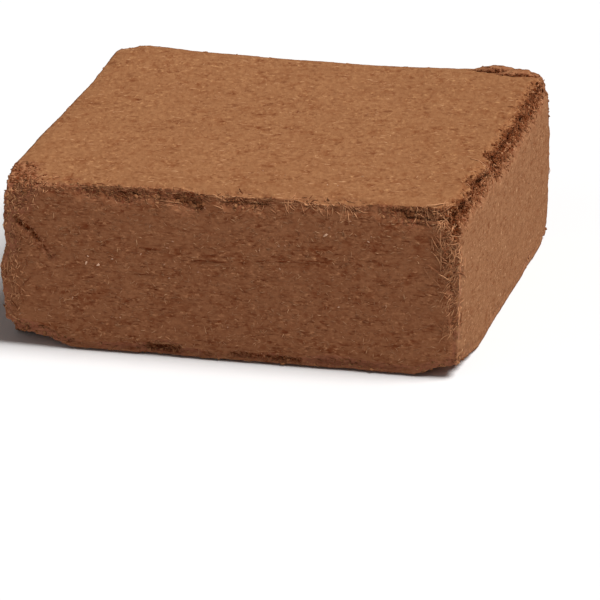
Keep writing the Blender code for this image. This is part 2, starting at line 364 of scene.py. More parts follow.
def knocked(point, lumps):
    """How far the knocked corners move a point inwards along each axis."""
    moves = [0.0, 0.0, 0.0]
    for signs, reach, depth in CORNERS:
        away = [(sign * HALF[axis] - point[axis]) / reach[axis] for axis, sign in enumerate(signs)]
        share = faded(Vector(away).length, 1.0)
        for axis in (X, Y, Z):
            moves[axis] += share * (depth[axis] + CORNER_LUMPS * lumps)
    return moves


def bent(point):
    """How far the upper face is bent up at a point."""
    rise = 0.0
    for (across, back), amount in BENT_PLACES:
        away = Vector((point.x - across * HALF.x, point.y - back * HALF.y)).length
        rise += amount * faded(away, BEND_REACH)
    return rise * (0.5 + point.z / HEIGHT)


def swollen(point, clear):
    """How far the faces stand out at a point."""
    share = Vector([place / half for place, half in zip(point, HALF)])
    rounding = 1.0 - share.z * share.z
    wave = WAVE_HEIGHT * noise.noise(point / WAVE_WIDTH)
    out = Vector((0.0, 0.0, 0.0))
    for axis, other in ((X, Y), (Y, X)):
        for sign in (-1, 1):
            if clear[axis][sign] == 0.0:
                swell = LEFT_SWELL if (axis, sign) == (X, -1) else SIDE_SWELL
                out[axis] += sign * (swell * rounding * (1.0 - SWELL_LOSS * share[other] ** 4) + wave)
    inside = min(clear[X][-1], clear[X][1], clear[Y][-1], clear[Y][1])
    if clear[Z][1] == 0.0:
        out.z += wave * faded(inside, FLAT_MARGIN)
    return out


def moulded(point):
    """(place, depth, shaded_hollow): where a point of the plain block ends up, how much has gone there and
    how deep the rim's own hollow is, which sets the shade painted in it. The point starts from the block's
    middle."""
    clear = [{sign: max(0.0, half - sign * place) for sign in (-1, 1)} for place, half in zip(point, HALF)]
    inwards = [0.0, 0.0, 0.0]
    shaded_hollow = 0.0
    if sorted(min(sides.values()) for sides in clear)[1] < WIDEST_BREAK:
        for rim in RIMS:
            moves = rim_moves(rim, point, clear)
            inwards = [max(before, move) for before, move in zip(inwards, moves)]
            shaded_hollow = max(shaded_hollow, moves[rim.faces[0]])
        lumps = roughness(point, LUMP_WIDTH)
        blows = knocked(point, lumps)
        ragged = 1.0 + LUMP_SHARE * (OLD_LUMPS + (1.0 - OLD_LUMPS) * min(1.0, freshness(point))) * lumps
        inwards = [max(move * ragged, blow) for move, blow in zip(inwards, blows)]
    rounding = rubbed_round(point)
    inwards = [inwards[X], inwards[Y] + rounding[0], inwards[Z] + rounding[1]]
    out = swollen(point, clear)
    moved = Vector([place - (1 if place > 0 else -1) * move for place, move in zip(point, inwards)]) + out
    moved.z += bent(point) + HALF.z
    depth = max(move for move, sides in zip(inwards, clear) if min(sides.values()) == 0.0)
    return moved, depth, shaded_hollow


def block_grid(cell):
    """The plain block as a closed grid of square cells, centred on its middle."""
    form = bmesh.new()
    bmesh.ops.create_cube(form, size=1.0)
    bmesh.ops.scale(form, vec=(LENGTH, DEPTH, HEIGHT), verts=form.verts)
    for axis, length in enumerate((LENGTH, DEPTH, HEIGHT)):
        runs = [
            edge for edge in form.edges
            if abs(edge.verts[0].co[axis] - edge.verts[1].co[axis]) > length / 2
        ]
        bmesh.ops.subdivide_edges(form, edges=runs, cuts=round(length / cell) - 1, use_grid_fill=True)
    return form


def distance_to_rim(point, rim):
    """How far a point of the plain block is from a rim."""
    first, second = rim.faces
    return math.hypot(
        HALF[first] - rim.signs[0] * point[first],
        HALF[second] - rim.signs[1] * point[second],
    )


def halve_cells(form, rims, margin):
    """Cuts the cells near some rims into four."""
    near = set()
    for face in form.faces:
        middle = face.calc_center_median()
        if any(distance_to_rim(middle, rim) < margin for rim in rims):
            near.update(face.edges)
    bmesh.ops.subdivide_edges(form, edges=list(near), cuts=1, use_grid_fill=True)


def snapped_to_block(places):
    """The same points, with those close to a face set exactly on it."""
    for axis, half in enumerate(HALF):
        on_face = np.abs(np.abs(places[:, axis]) - half) < 0.01 * MM
        places[on_face, axis] = np.sign(places[on_face, axis]) * half
    return places


def read(items, name, size=1, kind=np.float32):
    """What Blender keeps under a name for each of the items, as an array."""
    values = np.empty(len(items) * size, kind)
    items.foreach_get(name, values)
    return values if size == 1 else values.reshape(-1, size)


def at_vertices(mesh, name="co"):
    """The places of the mesh's vertices as an array, or their normals."""
    return read(mesh.vertices, name, 3).astype(float)


def set_places(mesh, places):
    """Moves the mesh's vertices to these points."""
    mesh.vertices.foreach_set("co", places.astype(np.float32).ravel())
    mesh.update()


def on_floor(places):
    """The same points, with those below the floor lifted onto it."""
    places[:, Z] = np.maximum(places[:, Z], 0.0)
    return places


def keep_value(mesh, name, values):
    """Stores a number for each vertex, for a material to read."""
    mesh.attributes.new(name, "FLOAT", "POINT").data.foreach_set("value", values.astype(np.float32))


def lay_out(mesh, laid):
    """Writes where each corner of each face lies on the bake map."""
    mesh.uv_layers.new(name=BAKE_MAP).data.foreach_set("uv", laid.astype(np.float32).ravel())


def in_scene(name, data):
    """A new object in the scene."""
    thing = bpy.data.objects.new(name, data)
    bpy.context.scene.collection.objects.link(thing)
    return thing


def mesh_of(form, name):
    """Turns a form into a mesh of this name."""
    mesh = bpy.data.meshes.new(name)
    form.to_mesh(mesh)
    form.free()
    return mesh


def placed(name, mesh, material):
    """A mesh in the scene, in one material."""
    mesh.materials.clear()
    mesh.materials.append(material)
    return in_scene(name, mesh)


# The flat sheet that the bale's surface is laid out on, in millimetres: each face's near corner on it, and
# the two axes that run across and up the face
SHEET = 612 * MM
FACE_ON_SHEET = {
    (Z, 1): (3, 3, X, Y),
    (Z, -1): (309, 3, X, Y),
    (Y, -1): (3, 309, X, Z),
    (Y, 1): (309, 309, X, Z),
    (X, -1): (3, 429, Y, Z),
    (X, 1): (309, 429, Y, Z),
}
CRUSTS_ON_SHEET = (3 * MM, 552 * MM)
CRUST_PATCH = 50 * MM
BAKE_MAP = "OFBake"


def lay_out_block(mesh, plain):
    """Lays the plain block's six faces out on the sheet."""
    corners = read(mesh.polygons, "loop_total", kind=np.int32)
    facing = np.repeat(read(mesh.polygons, "normal", 3), corners, axis=0)
    vertex_of = read(mesh.loops, "vertex_index", kind=np.int32)
    laid = np.zeros((len(vertex_of), 2))
    for (axis, sign), (across_at, up_at, across, up) in FACE_ON_SHEET.items():
        mine = sign * facing[:, axis] > 0.5
        laid[mine, 0] = across_at * MM + plain[vertex_of[mine], across] + HALF[across]
        laid[mine, 1] = up_at * MM + plain[vertex_of[mine], up] + HALF[up]
    lay_out(mesh, laid / SHEET)


def freshness(point):
    """How fresh a break is at a point of the plain block."""
    fresh = max(rim.shade * faded(distance_to_rim(point, rim), SHADE_REACH) for rim in RIMS)
    for signs, reach in RUBBED_CORNERS:
        away = Vector([sign * half - place for sign, half, place in zip(signs, HALF, point)]).length
        fresh *= 1.0 - RUBBED_AWAY * faded(away, reach)
    return fresh


def bared(point):
    """How bare of skin a point of the plain block is."""
    back, down = BARE_SQUASH
    away = Vector((point.x + HALF.x, back * (point.y + HALF.y), down * (point.z - HALF.z))).length
    return rising(faded(away, BARE_REACH) + BARE_RAGGED * roughness(point, 2 * CRUMBLE_WIDTH), *BARE_BORDER)


def gouged(point):
    """(how deep the gouges are, how much shade is painted there) at a point of the plain block."""
    depth = dark = 0.0
    for start, end, half_width, deepest, painted_shade in GOUGES:
        along = end - start
        share = min(1.0, max(0.0, (point - start).dot(along) / along.length_squared))
        away = (point - start - along * share).length
        if away < 1.5 * half_width:
            away += GOUGE_RAGGED * half_width * roughness(point, LUMP_WIDTH)
            there = faded(max(0.0, away), half_width)
            depth = max(depth, there * deepest)
            dark = max(dark, there * painted_shade)
    return depth, dark


def torn_share(place, facing, depth, on_top):
    """0 where the pressed skin is whole and 1 where it is torn off."""
    torn = rising(depth + SKIN_HOLD * roughness(place, 2 * CRUMBLE_WIDTH), SKIN_GOES_AT, SKIN_LOST_AT)
    if on_top:
        torn *= 1.0 - rising(facing.z + LEVEL_UNEVEN * roughness(place, CRUMBLE_WIDTH), *LEVEL_SKIN)
    return torn


def torn_relief(place):
    """How far torn pith stands back at a place: crumbs and level layers."""
    layers = noise.noise(Vector((place.x / LAYER_WIDTH, place.y / LAYER_WIDTH, place.z / LAYER_THICKNESS)))
    return CRUMBLE_HEIGHT * roughness(place, CRUMBLE_WIDTH) + LAYER_HEIGHT * layers


def pressed_block(material):
    """The bale's body, which keeps for the material how far the skin is worn off, how fresh the break is, how
    much shade is painted in its hollows, and its side, for a painted tint of light and shade."""
    form = block_grid(FACE_CELL)
    halve_cells(form, RIMS, RIM_MARGIN)
    halve_cells(form, TORN_RIMS, TORN_MARGIN)
    mesh = mesh_of(form, "bale_of_pressed_coir")
    plain = snapped_to_block(at_vertices(mesh))
    lay_out_block(mesh, plain)
    ends = [moulded(Vector(point)) for point in plain]
    places = np.array([place for place, depth, shaded_hollow in ends])
    set_places(mesh, places)
    facing = at_vertices(mesh, "normal")
    wear, fresh, dark, relief = np.zeros((4, len(plain)))
    for i, (place, depth, shaded_hollow) in enumerate(ends):
        point = Vector(plain[i])
        gouge_depth, gouge_shade = gouged(point)
        if max(depth, gouge_depth) > 0.0:
            on_top = point.z == HALF.z
            shade, bare = freshness(point), bared(point)
            torn = torn_share(place, Vector(facing[i]), depth, on_top)
            wear[i] = max(torn, bare, min(1.0, GOUGE_WEAR * gouge_shade))
            fresh[i] = min(1.0, max(shade, BARE_FRESH * bare, gouge_shade))
            relief[i] = wear[i] * (RUBBED_RELIEF + (1.0 - RUBBED_RELIEF) * fresh[i]) * torn_relief(place)
            relief[i] += gouge_depth
            # Shade painted in a fresh rim's hollows and in the gouges, and the bare corner's darkening, as
            # one value
            bare_dark = bare * BARE_DARK[0 if on_top else 1]
            dark[i] = min(MOST_PAINTED_SHADE, max(shade * rising(shaded_hollow, 0.0, FULL_SHADE_AT), bare_dark, gouge_shade))
    set_places(mesh, on_floor(places - facing * relief[:, None]))
    keep_value(mesh, "wear", wear)
    keep_value(mesh, "fresh", fresh)
    keep_value(mesh, "shaded_hollow", dark)
    # The side that each point is on, for the painted tint of light and shade
    on_right, on_top = plain[:, X] == HALF.x, plain[:, Z] == HALF.z
    keep_value(mesh, "painted_light_side", np.where(on_right, 0.0, np.where(on_top, 0.5, 1.0)))
    mesh.shade_smooth()
    return placed("bale_of_pressed_coir", mesh, material)


def crust_section(crust, share):
    """(x, the points (y, z) around it) of a crust at a share of its length."""
    start, end, front, back, lift = crust
    x = start + (end - start) * share
    ragged = CRUST_RAGGED * roughness(Vector((x, front, 0.0)), CRUST_LUMP_WIDTH)
    towards_end = (2.0 * share - 1.0) ** 2
    lip = front + CRUST_END_DRAW * towards_end + ragged
    top = HEIGHT + lift * math.sin(math.pi * (CRUST_RISE[0] + CRUST_RISE[1] * share)) + 0.3 * ragged
    floor = moulded(Vector((x, lip, HALF.z)))[0].z
    rise = max(0.0, top - floor)
    root = HEIGHT - CRUST_ROOT_DEPTH
    return x, [
        (lip, floor - CRUST_SUNK),
        *((lip + behind, floor + height * rise) for behind, height in CRUST_SLOPE),
        ((1.0 - CRUST_CREST) * lip + CRUST_CREST * back, top),
        (back, top - CRUST_FALL),
        (back, root),
        (lip + CRUST_ROOT_AT, root),
    ]


def lifted_crust(crust, number, material):
    """A crust as a closed body, laid out on the sheet beside the block's faces."""
    form = bmesh.new()
    sheet = form.loops.layers.uv.new(BAKE_MAP)
    left, bottom = CRUSTS_ON_SHEET
    spot = {}
    rings = []
    for step in range(CRUST_STEPS + 1):
        share = step / CRUST_STEPS
        x, section = crust_section(crust, share)
        ring = [form.verts.new((x, y, z)) for y, z in section]
        for i, vertex in enumerate(ring):
            u = left + (number + 0.9 * share) * CRUST_PATCH
            spot[vertex] = (u / SHEET, (bottom + CRUST_PATCH * i / len(section)) / SHEET)
        rings.append(ring)
    for ring, following in zip(rings, rings[1:]):
        for i in range(len(ring)):
            j = (i + 1) % len(ring)
            form.faces.new((ring[i], following[i], following[j], ring[j]))
    form.faces.new(rings[0])
    form.faces.new(reversed(rings[-1]))
    bmesh.ops.recalc_face_normals(form, faces=form.faces)
    for face in form.faces:
        for loop in face.loops:
            loop[sheet].uv = spot[loop.vert]
    mesh = mesh_of(form, "lifted_crust")
    places = at_vertices(mesh)
    relief = np.array([torn_relief(Vector(place)) for place in places])
    set_places(mesh, places - CRUST_RELIEF * at_vertices(mesh, "normal") * relief[:, None])
    for name, values in zip(("wear", "fresh", "shaded_hollow"), zip(*CRUST_TORN)):
        keep_value(mesh, name, np.tile(values, CRUST_STEPS + 1))
    # The crusts take the upper face's painted tint of light
    keep_value(mesh, "painted_light_side", np.full(len(places), 0.5))
    mesh.shade_smooth()
    return placed(f"lifted_crust_{number}", mesh, material)


def join_into(whole, parts):
    """Makes the parts one with the whole."""
    chosen = [whole, *parts]
    with bpy.context.temp_override(active_object=whole, selected_editable_objects=chosen):
        bpy.ops.object.join()
    return whole


class Surface:
    """A surface to place fibres and crumbs on."""

    def __init__(self, mesh):
        mesh.calc_loop_triangles()
        corners = read(mesh.loop_triangles, "vertices", 3, np.int32)
        places = at_vertices(mesh)
        self.first, second, third = (places[corners[:, i]] for i in range(3))
        self.across, self.up = second - self.first, third - self.first
        kept = [read(mesh.attributes[name].data, "value") for name in ("wear", "fresh", "shaded_hollow")]
        self.wear, self.fresh, self.shaded_hollow = (values[corners].mean(axis=1) for values in kept)
        out = np.cross(self.across, self.up)
        self.areas = np.linalg.norm(out, axis=1) / 2
        self.facing = out / np.maximum(2 * self.areas, 1e-12)[:, None]
        self.tree = BVHTree.FromPolygons(places.tolist(), corners.tolist())

    def spots(self, draw, count, share):
        """(random points, their triangles). share says how thickly each triangle is covered."""
        weight = self.areas * share
        chosen = draw.choice(len(weight), size=count, p=weight / weight.sum())
        a, b = draw.random(count), draw.random(count)
        over = a + b > 1.0
        a[over], b[over] = 1.0 - a[over], 1.0 - b[over]
        points = self.first[chosen] + a[:, None] * self.across[chosen] + b[:, None] * self.up[chosen]
        return points, chosen


@dataclass
class FibreKind:
    """How one kind of fibre grows over the surface. Sizes are ranges, in metres."""

    length: tuple
    width: tuple
    points: int
    curl: float
    sunk: tuple
    lift: tuple


# A fibre lifts off over this share of its length, around a place in this range. Its turns stray by this share
# of its curl.
LOOP_SPREAD = 0.35
LOOP_PLACES = (0.2, 0.8)
CURL_STRAY = 0.6


def strand_points(surface, draw, kind, start, heading):
    """The points of one fibre that creeps over the surface and turns as it goes, and the normals there."""
    step = draw.uniform(*kind.length) / (kind.points - 1)
    sunk, lift = draw.uniform(*kind.sunk), draw.uniform(*kind.lift)
    turn = draw.normal(0.0, kind.curl)
    loop_at = draw.uniform(*LOOP_PLACES)
    at = Vector(start)
    heading = Vector(heading)
    points, normals = [], []
    for i in range(kind.points):
        hit, normal, _, _ = surface.tree.find_nearest(at)
        share = i / (kind.points - 1)
        height = lift * math.exp(-((share - loop_at) / LOOP_SPREAD) ** 2) - sunk
        points.append(hit + normal * height)
        normals.append(normal)
        heading = heading - normal * heading.dot(normal)
        if heading.length < 0.01:
            heading = normal.orthogonal()
        heading.normalize()
        bend = turn + draw.normal(0.0, kind.curl * CURL_STRAY)
        heading = heading * math.cos(bend) + normal.cross(heading) * math.sin(bend)
        at = hit + heading * step
    return points, normals


FIBRE_SIDES = 3
# A fibre's width at a sharp end, and the part of a half turn that is cut off there
SHARP_WIDTH = 0.25
END_CUT = 0.12
# The empty share at each side of a cell on the bake map
CELL_MARGIN = 0.15


def fibres_mesh(name, paths, normals, widths, tones):
    """Closed tubes along the paths, tapered at both ends, as one mesh."""
    count, points = paths.shape[:2]
    ahead = np.gradient(paths, axis=1)
    ahead /= np.maximum(np.linalg.norm(ahead, axis=2, keepdims=True), 1e-9)
    side = np.cross(ahead, normals)
    side /= np.maximum(np.linalg.norm(side, axis=2, keepdims=True), 1e-9)
    up = np.cross(side, ahead)
    share = np.linspace(0.0, 1.0, points)
    swelling = np.sin(math.pi * (END_CUT + (1.0 - 2 * END_CUT) * share))
    taper = SHARP_WIDTH + (1.0 - SHARP_WIDTH) * swelling
    radius = widths[:, None, None, None] * taper[None, :, None, None] / 2
    turns = 2 * math.pi * np.arange(FIBRE_SIDES) / FIBRE_SIDES
    around = np.cos(turns)[:, None] * up[:, :, None] + np.sin(turns)[:, None] * side[:, :, None]
    places = (paths[:, :, None] + radius * around).reshape(-1, 3)
    index = np.arange(count * points * FIBRE_SIDES).reshape(count, points, FIBRE_SIDES)
    near, far = index[:, :-1], index[:, 1:]
    quads = np.stack([near, np.roll(near, -1, axis=2), np.roll(far, -1, axis=2), far], axis=-1)
    caps = np.concatenate([index[:, 0, ::-1], index[:, -1]])
    mesh = bpy.data.meshes.new(name)
    mesh.from_pydata(places.tolist(), [], quads.reshape(-1, 4).tolist() + caps.tolist())
    lay_out_cells(mesh, count, np.repeat(share, FIBRE_SIDES), np.tile(np.arange(FIBRE_SIDES) / 2, points))
    keep_value(mesh, "tone", np.repeat(tones, points * FIBRE_SIDES))
    mesh.shade_smooth()
    return mesh


def lay_out_cells(mesh, count, across, up):
    """Gives each of the mesh's equal bodies a square cell of its own on the bake map."""
    rows = math.ceil(math.sqrt(count))
    row, column = np.divmod(np.arange(count), rows)
    inner = 1.0 - 2 * CELL_MARGIN
    u = (column[:, None] + CELL_MARGIN + inner * across[None, :]) / rows
    v = (row[:, None] + CELL_MARGIN + inner * up[None, :]) / rows
    at_vertex = np.stack([u.ravel(), v.ravel()], axis=1)
    lay_out(mesh, at_vertex[read(mesh.loops, "vertex_index", kind=np.int32)])


# The factors by which a crumb's corners and its three sides differ from a ball's
CRUMB_ROUGH = (0.65, 1.25)
CRUMB_SIDES = ((0.7, 0.45, 0.35), (1.5, 1.0, 0.8))


def crumbs_mesh(name, draw, spots, sizes, tones):
    """Rough granules half sunk in the surface, as one mesh."""
    form = bmesh.new()
    bmesh.ops.create_icosphere(form, subdivisions=1, radius=1.0)
    shape = np.array([vertex.co for vertex in form.verts])
    faces = np.array([[vertex.index for vertex in face.verts] for face in form.faces])
    form.free()
    count, corners = len(spots), len(shape)
    lumps = shape[None] * draw.uniform(*CRUMB_ROUGH, (count, corners, 1))
    lumps *= draw.uniform(*CRUMB_SIDES, (count, 3))[:, None, :]
    turn, _ = np.linalg.qr(draw.normal(size=(count, 3, 3)))
    turn[np.linalg.det(turn) < 0, :, 0] *= -1
    lumps = np.einsum("nij,nkj->nki", turn, lumps) * (sizes / 2)[:, None, None]
    places = (spots[:, None] + lumps).reshape(-1, 3)
    mesh = bpy.data.meshes.new(name)
    all_faces = (faces[None] + corners * np.arange(count)[:, None, None]).reshape(-1, 3)
    mesh.from_pydata(places.tolist(), [], all_faces.tolist())
    lay_out_cells(mesh, count, 0.5 + 0.5 * shape[:, 0], 0.5 + 0.5 * shape[:, 2])
    keep_value(mesh, "tone", np.repeat(tones, corners))
    return mesh


def fibre_kind(length, width, points, curl, sunk, lift):
    """A kind of fibre with its sizes in millimetres."""
    return FibreKind(mm(length), mm(width), points, curl, mm(sunk), mm(lift))


# The real fibres are 0.1 to 0.3 mm thick, too fine to show, so these are thicker.
TOP_FIBRES = fibre_kind((2, 6), (0.5, 0.85), 4, 0.12, (0.18, 0.4), (0, 0.1))
SIDE_FIBRES = fibre_kind((1.4, 4), (0.5, 0.9), 4, 0.12, (0.08, 0.3), (0, 0.15))
RIM_FIBRES = fibre_kind((2.5, 6.5), (0.4, 0.75), 6, 0.12, (-0.1, 0.5), (0, 0.8))
RIM_FUZZ = fibre_kind((1.4, 3.6), (0.6, 1.0), 4, 0.15, (-0.1, 0.3), (0, 0.4))
SHORT_TUFT = fibre_kind((4, 10), (0.45, 0.75), 6, 0.1, (-0.2, 0.2), (0, 0.5))
LONG_TUFT = fibre_kind((7, 19), (0.45, 0.8), 10, 0.07, (-0.3, 0.2), (0, 1.3))
STRAIGHT = fibre_kind((6, 13), (0.4, 0.6), 5, 0.015, (-0.05, 0.15), (0, 0.1))
SPECK = fibre_kind((1.0, 1.8), (0.7, 1.0), 3, 0.1, (-0.2, 0.0), (0, 0.1))
BRIGHT_SPECK = fibre_kind((1.8, 2.6), (1.3, 1.7), 3, 0.1, (-0.2, 0.2), (0, 0.1))
MAT = fibre_kind((1.5, 4), (0.7, 1.2), 4, 0.15, (-0.2, 0.2), (0, 0.2))


# How loosely a direction at a rim is drawn, and how much further it then leans along the rim.
RIM_LOOSE = 0.5
RIM_LEAN = 2.6


def along_rim(draw, spot):
    """A direction that leans towards the run of the nearest rim."""
    point = Vector(spot) - MIDDLE
    nearest = min(RIMS, key=lambda rim: distance_to_rim(point, rim))
    heading = draw.normal(size=3) * RIM_LOOSE
    heading[nearest.along] *= RIM_LEAN
    return heading


def grown(name, surface, kind, draw, spots, headings, tones, material):
    """Fibres of one kind from their starting points, as one piece."""
    paths, normals = [], []
    for spot, heading in zip(spots, headings):
        points, facing = strand_points(surface, draw, kind, spot, heading)
        paths.append(points)
        normals.append(facing)
    widths = draw.uniform(*kind.width, len(spots))
    mesh = fibres_mesh(name, np.array(paths), np.array(normals), widths, tones)
    set_places(mesh, on_floor(at_vertices(mesh)))
    return placed(name, mesh, material)


def linear(colour):
    """An sRGB colour such as "#a26e4a" as the linear values that a shader takes."""
    values = [int(colour[i:i + 2], 16) / 255 for i in (1, 3, 5)]
    return [v / 12.92 if v <= 0.04045 else ((v + 0.055) / 1.055) ** 2.4 for v in values] + [1.0]


def add(tree, kind, sockets, output=0, **settings):
    """Adds a node with its settings, values and links, and gives one of its outputs."""
    node = tree.nodes.new("ShaderNode" + kind)
    for name, value in settings.items():
        setattr(node, name, value)
    for socket, value in sockets.items():
        if isinstance(value, bpy.types.NodeSocket):
            tree.links.new(value, node.inputs[socket])
        else:
            node.inputs[socket].default_value = value
    return node.outputs[output]


def new_material(name, roughness, gloss=0.0):
    """(material, its tree, its shader) with even values for how dull and how glossy it is."""
    material = bpy.data.materials.new(name)
    material.use_nodes = True
    shader = material.node_tree.nodes["Principled BSDF"]
    shader.inputs["Roughness"].default_value = roughness
    shader.inputs["Specular IOR Level"].default_value = gloss
    return material, material.node_tree, shader


# Pressed skin, pale and matted
SKIN_PALE = "#9c7050"
SKIN_BROWN = "#875c40"
# Painted light: a tint for the lit upper face, and a redder tint of painted shade on the sides but the right
# one
LIT_TINT_ABOVE = "#fdf8ec"
SHADE_TINT_ASIDE = "#f0e1dc"
# Pith inside a break: mostly red-brown, darker in places, with pale bits of fibre, and last a painted shade
# for the gaps in its hollows
TORN_DARK = "#70381b"
TORN_BROWN = "#845438"
TORN_PALE = "#b2815d"
PAINTED_PITH_SHADE = "#582308"
# A break that has been rubbed, as on the edges that stood against other bales. Part of its paleness is
# painted light, for the edges that turn away from the lamps.
RUBBED_PITH_LIT = "#9f6d57"
# The grains lie flat in the block's layers, so they are wider than they are thick.
GRAIN_SQUASH = (1.0, 0.55, 1.5)
LAYER_SQUASH = (0.6, 0.6, 1.8)
# On the upper face they lie askew by this angle.
GRAIN_TURN = math.radians(13.5)
CLUMP_SIZE = 2.8 * MM
CLUSTER_SIZE = 13 * MM
BROAD_SIZE = 38 * MM
BUMP_HEIGHT = 0.65 * MM


# Small spots in the skin: their colour, size and squash, where their noise starts to show and is full, how
# strong they are, how far they stand up, and an offset that keeps two kinds from the same places
SKIN_FLECKS = [
    ("#70391d", 6.5 * MM, GRAIN_SQUASH, 0.48, 0.68, 0.6, -0.2, 8.9),
    ("#652f17", 3.4 * MM, GRAIN_SQUASH, 0.53, 0.69, 0.65, -0.4, 1.7),
    ("#58240f", 2.6 * MM, (0.4, 0.45, 2.6), 0.56, 0.70, 0.75, -0.4, 3.1),
    ("#c3946c", 2.8 * MM, (0.8, 0.6, 1.6), 0.57, 0.72, 0.75, 0.5, 5.3),
]


def laid_over(tree, colour, over, value, low, high, most=1.0):
    """A colour with another over it, which shows where the value rises from low to high."""
    share = add(tree, "MapRange", {"Value": value, "From Min": low, "From Max": high, "To Max": most})
    return add(tree, "Mix", {0: share, 6: colour, 7: linear(over)}, 2, data_type="RGBA")


def pith_material():
    """Coir pith pressed dry in a mould: a dull matted skin with small dark and pale flecks, and crumbling
    red-brown pith where it tore, with shade painted into the gaps in its hollows and a painted tint of light
    and shade on each face."""
    material, tree, shader = new_material("pressed coir pith", 0.95)
    place = add(tree, "TexCoord", {}, "Object")
    kept = ("wear", "fresh", "shaded_hollow", "painted_light_side")
    wear, fresh, shaded_hollow, painted_light_side = (add(tree, "Attribute", {}, "Fac", attribute_name=name) for name in kept)
    askew = add(tree, "Mapping", {"Vector": place, "Rotation": (0.0, 0.0, -GRAIN_TURN)})
    # The matted skin
    grains = add(tree, "Mapping", {"Vector": askew, "Scale": GRAIN_SQUASH})
    fine = {"Scale": 1 / CLUMP_SIZE, "Detail": 4.0, "Roughness": 0.6}
    clumps = add(tree, "TexNoise", {"Vector": grains, **fine})
    skin = laid_over(tree, linear(SKIN_BROWN), SKIN_PALE, clumps, 0.3, 0.7)
    broad = add(tree, "TexNoise", {"Vector": place, "Scale": 1 / BROAD_SIZE, "Detail": 3.0})
    skin = laid_over(tree, skin, SKIN_BROWN, broad, 0.4, 0.7, 0.42)
    # Its flecks, which come in clusters and are boldest on the sides
    layers = add(tree, "Mapping", {"Vector": askew, "Scale": LAYER_SQUASH})
    clusters = add(tree, "TexNoise", {"Vector": layers, "Scale": 1 / CLUSTER_SIZE, "Detail": 3.0})
    clusters = add(tree, "MapRange", {"Value": clusters, "From Min": 0.34, "From Max": 0.64, "To Min": 0.3})
    boldness = add(tree, "MapRange", {"Value": painted_light_side, "From Min": 0.5, "To Min": 0.76, "To Max": 1.15})
    clusters = add(tree, "Math", {0: clusters, 1: boldness}, operation="MULTIPLY")
    height = clumps
    for fleck, size, squash, low, high, strength, rise, offset in SKIN_FLECKS:
        there = add(tree, "Mapping", {"Vector": askew, "Scale": squash, "Location": [offset] * 3})
        fine = {"Scale": 1 / size, "Detail": 2.5, "Roughness": 0.6}
        spots = add(tree, "TexNoise", {"Vector": there, **fine})
        span = {"From Min": low, "From Max": high, "To Max": strength}
        spots = add(tree, "MapRange", {"Value": spots, **span})
        spots = add(tree, "Math", {0: spots, 1: clusters}, operation="MULTIPLY")
        skin = add(tree, "Mix", {0: spots, 6: skin, 7: linear(fleck)}, 2, data_type="RGBA")
        height = add(tree, "Math", {0: spots, 1: rise, 2: height}, operation="MULTIPLY_ADD")
    # Painted light: a tint for each face by how the lamps light it
    tint = laid_over(tree, linear("#ffffff"), LIT_TINT_ABOVE, painted_light_side, 0.0, 0.5)
    tint = laid_over(tree, tint, SHADE_TINT_ASIDE, painted_light_side, 0.5, 1.0)
    # Pith inside a break, fresh or rubbed, with shade painted in the gaps between its clumps where it lies in
    # a hollow
    torn = laid_over(tree, linear(TORN_DARK), TORN_BROWN, clumps, 0.34, 0.5)
    torn = laid_over(tree, torn, TORN_PALE, clumps, 0.5, 0.62)
    rubbed = add(tree, "Mix", {0: 0.6, 6: skin, 7: linear(RUBBED_PITH_LIT)}, 2, data_type="RGBA")
    torn = add(tree, "Mix", {0: fresh, 6: rubbed, 7: torn}, 2, data_type="RGBA")
    span = {"From Min": 0.45, "From Max": 0.56, "To Min": 1.0, "To Max": 0.08}
    gaps = add(tree, "MapRange", {"Value": clumps, **span})
    gaps = add(tree, "Math", {0: gaps, 1: shaded_hollow}, operation="MULTIPLY")
    torn = add(tree, "Mix", {0: gaps, 6: torn, 7: linear(PAINTED_PITH_SHADE)}, 2, data_type="RGBA")
    colour = add(tree, "Mix", {0: wear, 6: skin, 7: torn}, 2, data_type="RGBA")
    colour = add(tree, "Mix", {0: 1.0, 6: colour, 7: tint}, 2, data_type="RGBA", blend_type="MULTIPLY")
    tree.links.new(colour, shader.inputs["Base Color"])
    bump = add(tree, "Bump", {"Strength": 1.0, "Distance": BUMP_HEIGHT, "Height": height})
    tree.links.new(bump, shader.inputs["Normal"])
    return material


def fibre_material(name, dark, light):
    """Dry coir fibre, split from the husk: fine strands from dark to pale, with a faint gloss along each."""
    material, tree, shader = new_material(name, 0.7, 0.04)
    tone = add(tree, "Attribute", {}, "Fac", attribute_name="tone")
    colour = add(tree, "Mix", {0: tone, 6: linear(dark), 7: linear(light)}, 2, data_type="RGBA")
    tree.links.new(colour, shader.inputs["Base Color"])
    return material


# A spot that faces an axis this much counts as that side's. Fewer fibres show on the right and underneath.
FACES_AXIS = 0.8
RIGHT_SHARE = 0.3
UNDER_SHARE = 0.2
# How much the fibres run along each axis, on the upper face and on the sides
LYING_ABOVE = (2.0, 0.9, 1.0)
LYING_AROUND = (1.0, 1.0, 0.5)
# How pale fibres and pith are, as the two powers of a beta draw
PRESSED_TONES = (2.4, 4.0)
TORN_TONES = (1.4, 1.7)
PITH_TONES = (1.5, 1.9)
# This share of the pressed fibres is paler by this much: a painted highlight, as if they caught the light.
HIGHLIGHT_SHARE = 0.1
HIGHLIGHT_MORE = 0.6
# The share of that which they lose to painted shade in a hollow, and how pale pith is at least elsewhere
FIBRE_SHADE = 0.5
PITH_SHADE = 0.6
PITH_LEAST = 0.3
# How thickly fibres and crumbs cover an old break, when a fresh one has 1
OLD_FIBRES = 0.03
OLD_CRUMBS = 0.02
# The least size of a crumb, how much larger the largest is, and the powers of that draw
LEAST_CRUMB = 1.0
MORE_CRUMB = 3.0
CRUMB_SIZES = (1.6, 2.6)


